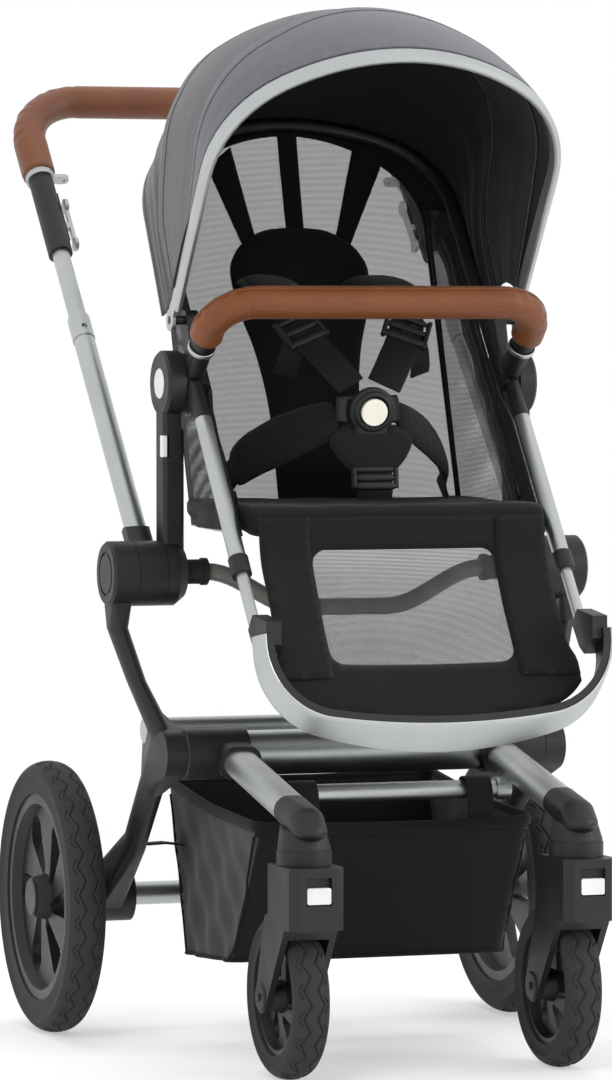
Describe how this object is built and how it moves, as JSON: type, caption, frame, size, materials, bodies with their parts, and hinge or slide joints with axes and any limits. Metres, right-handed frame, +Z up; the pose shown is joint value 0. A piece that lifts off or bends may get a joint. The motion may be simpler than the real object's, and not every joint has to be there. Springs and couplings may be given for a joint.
{
  "type": "baby stroller",
  "caption": "Folding baby stroller with a reclining sling seat, hooped hood, padded bumper bar, height-adjustable push bar, swivel front casters and a storage basket.",
  "frame": {"origin": "on the floor, below the middle of the whole stroller", "axes": "+Z up, -Y towards the stroller's front, +X to the right in a view from the front"},
  "size_m": [0.6, 0.8656, 1.1467],
  "materials": {
    "black_plastic": "moulded black plastic, fine grain",
    "pale_plastic": "pale grey plastic, satin",
    "matt_tube": "satin anodised tube",
    "bright_tube": "brushed satin tube",
    "steel": "turned steel",
    "grey_tube": "dark grey satin paint",
    "rubber": "matt rubber",
    "tyre": "matt rubber with a zigzag tread",
    "wheel_plastic": "moulded black plastic",
    "grip_leather": "grained brown leather with a stitched seam",
    "bar_leather": "grained tan leather with a stitched seam",
    "grey_fabric": "plain woven grey fabric",
    "dark_fabric": "black woven fabric",
    "mesh": "open pale mesh",
    "webbing": "black webbing and padded fabric",
    "basket_fabric": "dark grey woven fabric"
  },
  "bodies": {
    "chassis": {"leg_left": "black_plastic", "leg_right": "black_plastic", "rear_cross_tube": "matt_tube", "rear_axle": "matt_tube", "pivot_pins": "steel", "posts": "black_plastic", "carry_bar": "grey_tube", "carry_bar_ends": "rubber", "basket": "basket_fabric"},
    "brake": {"brake_pedal": "black_plastic"},
    "front_frame": {"main_cross_tube": "matt_tube", "elbow_housings": "black_plastic", "front_tubes": "bright_tube", "front_cross_bar": "bright_tube", "caster_heads": "black_plastic"},
    "caster_left": {"fork_left": "black_plastic"},
    "caster_right": {"fork_right": "black_plastic"},
    "lock_left": {"swivel_lock_left": "pale_plastic"},
    "lock_right": {"swivel_lock_right": "pale_plastic"},
    "front_wheel_left": {"front_rim_left": "wheel_plastic", "front_tyre_left": "tyre"},
    "front_wheel_right": {"front_rim_right": "wheel_plastic", "front_tyre_right": "tyre"},
    "rear_wheel_left": {"rear_rim_left": "wheel_plastic", "rear_tyre_left": "tyre", "rear_cap_left": "wheel_plastic"},
    "rear_wheel_right": {"rear_rim_right": "wheel_plastic", "rear_tyre_right": "tyre", "rear_cap_right": "wheel_plastic"},
    "push_bar": {"push_rings": "black_plastic", "push_tubes": "matt_tube"},
    "push_top": {"push_slider": "bright_tube", "push_sleeves": "black_plastic", "push_clamps": "bright_tube", "push_grip": "grip_leather"},
    "latch_lever_left": {"latch_left": "bright_tube"},
    "latch_lever_right": {"latch_right": "bright_tube"},
    "seat_mount": {"adapters": "black_plastic", "hinge_discs": "pale_plastic"},
    "button_left": {"release_button_left": "pale_plastic"},
    "button_right": {"release_button_right": "pale_plastic"},
    "seat": {"seat_frame": "matt_tube", "seat_brackets": "black_plastic", "seat_back": "mesh", "seat_base": "dark_fabric", "seat_sides": "dark_fabric", "seat_pad": "dark_fabric", "harness": "webbing", "buckle": "black_plastic", "hood_rear": "grey_fabric"},
    "buckle_press": {"buckle_button": "pale_plastic"},
    "hood_bow": {"hood_hoop": "bright_tube", "hood_front": "grey_fabric"},
    "hood_mid_bow": {"hood_middle": "grey_fabric"},
    "bumper": {"bumper_grip": "bar_leather", "bumper_legs": "black_plastic"},
    "footrest": {"footrest_tubes": "bright_tube", "footrest_bar": "bright_tube", "footrest_liner": "black_plastic", "footrest_panel": "dark_fabric"}
  },
  "joints": [
    {"name": "frame_fold", "type": "hinge", "parent": "chassis", "child": "push_bar", "pos_m": [0, -0.082, 0.5245], "axis": [1, 0, 0], "range_deg": [0, 150]},
    {"name": "front_fold", "type": "hinge", "parent": "chassis", "child": "front_frame", "pos_m": [0, -0.136, 0.33], "axis": [1, 0, 0], "range_deg": [0, 60], "deforming": ["basket"]},
    {"name": "push_height", "type": "slide", "parent": "push_bar", "child": "push_top", "axis": [0, 0.682, 0.7314], "range_m": [-0.095, 0]},
    {"name": "latch_left", "type": "hinge", "parent": "push_top", "child": "latch_lever_left", "pos_m": [-0.2155, 0.27469, 0.907], "axis": [0, -0.7314, 0.682], "range_deg": [-6, 0], "stiffness_Nm_per_rad": 0.3},
    {"name": "latch_right", "type": "hinge", "parent": "push_top", "child": "latch_lever_right", "pos_m": [0.2155, 0.27469, 0.907], "axis": [0, -0.7314, 0.682], "range_deg": [0, 6], "stiffness_Nm_per_rad": 0.3},
    {"name": "seat_lift", "type": "slide", "parent": "chassis", "child": "seat_mount", "axis": [0, 0, 1], "range_m": [0, 0.055]},
    {"name": "release_left", "type": "slide", "parent": "seat_mount", "child": "button_left", "axis": [1, 0, 0], "range_m": [0, 0.0028], "stiffness_N_per_m": 400},
    {"name": "release_right", "type": "slide", "parent": "seat_mount", "child": "button_right", "axis": [-1, 0, 0], "range_m": [0, 0.0028], "stiffness_N_per_m": 400},
    {"name": "seat_tilt", "type": "hinge", "parent": "seat_mount", "child": "seat", "pos_m": [0, -0.082, 0.731], "axis": [1, 0, 0], "range_deg": [-30, 0]},
    {"name": "hood_fold", "type": "hinge", "parent": "seat", "child": "hood_bow", "pos_m": [0, -0.084, 0.8], "axis": [1, 0, 0], "range_deg": [-58, 0]},
    {"name": "hood_middle_fold", "type": "hinge", "parent": "seat", "child": "hood_mid_bow", "pos_m": [0, -0.084, 0.8], "axis": [1, 0, 0], "range_deg": [-29, 0]},
    {"name": "bumper_pull", "type": "slide", "parent": "seat", "child": "bumper", "axis": [0, -0.766, 0.6428], "range_m": [0, 0.03]},
    {"name": "footrest_length", "type": "slide", "parent": "seat", "child": "footrest", "axis": [0, -0.6307, -0.776], "range_m": [0, 0.045]},
    {"name": "buckle_press", "type": "slide", "parent": "seat", "child": "buckle_press", "axis": [0, 0.9848, 0.1736], "range_m": [0, 0.002], "stiffness_N_per_m": 400},
    {"name": "rear_wheel_left", "type": "hinge", "parent": "chassis", "child": "rear_wheel_left", "pos_m": [-0.275, 0.129, 0.1525], "axis": [1, 0, 0], "continuous": true},
    {"name": "rear_wheel_right", "type": "hinge", "parent": "chassis", "child": "rear_wheel_right", "pos_m": [0.275, 0.129, 0.1525], "axis": [1, 0, 0], "continuous": true},
    {"name": "caster_swivel_left", "type": "hinge", "parent": "front_frame", "child": "caster_left", "pos_m": [-0.153, -0.379, 0.2317], "axis": [0, 0, 1], "continuous": true},
    {"name": "front_wheel_left", "type": "hinge", "parent": "caster_left", "child": "front_wheel_left", "pos_m": [-0.153, -0.333, 0.088], "axis": [1, 0, 0], "continuous": true},
    {"name": "swivel_lock_left", "type": "slide", "parent": "caster_left", "child": "lock_left", "axis": [0, 0, 1], "range_m": [0, 0.006]},
    {"name": "caster_swivel_right", "type": "hinge", "parent": "front_frame", "child": "caster_right", "pos_m": [0.153, -0.379, 0.2317], "axis": [0, 0, 1], "continuous": true},
    {"name": "front_wheel_right", "type": "hinge", "parent": "caster_right", "child": "front_wheel_right", "pos_m": [0.153, -0.333, 0.088], "axis": [1, 0, 0], "continuous": true},
    {"name": "swivel_lock_right", "type": "slide", "parent": "caster_right", "child": "lock_right", "axis": [0, 0, 1], "range_m": [0, 0.006]},
    {"name": "brake", "type": "hinge", "parent": "chassis", "child": "brake", "pos_m": [0, 0.129, 0.1525], "axis": [1, 0, 0], "range_deg": [-18, 0]}
  ],
  "couplings": [
    {"joint": "front_fold", "follows": "frame_fold", "ratio": 0.4},
    {"joint": "hood_middle_fold", "follows": "hood_fold", "ratio": 0.5}
  ]
}
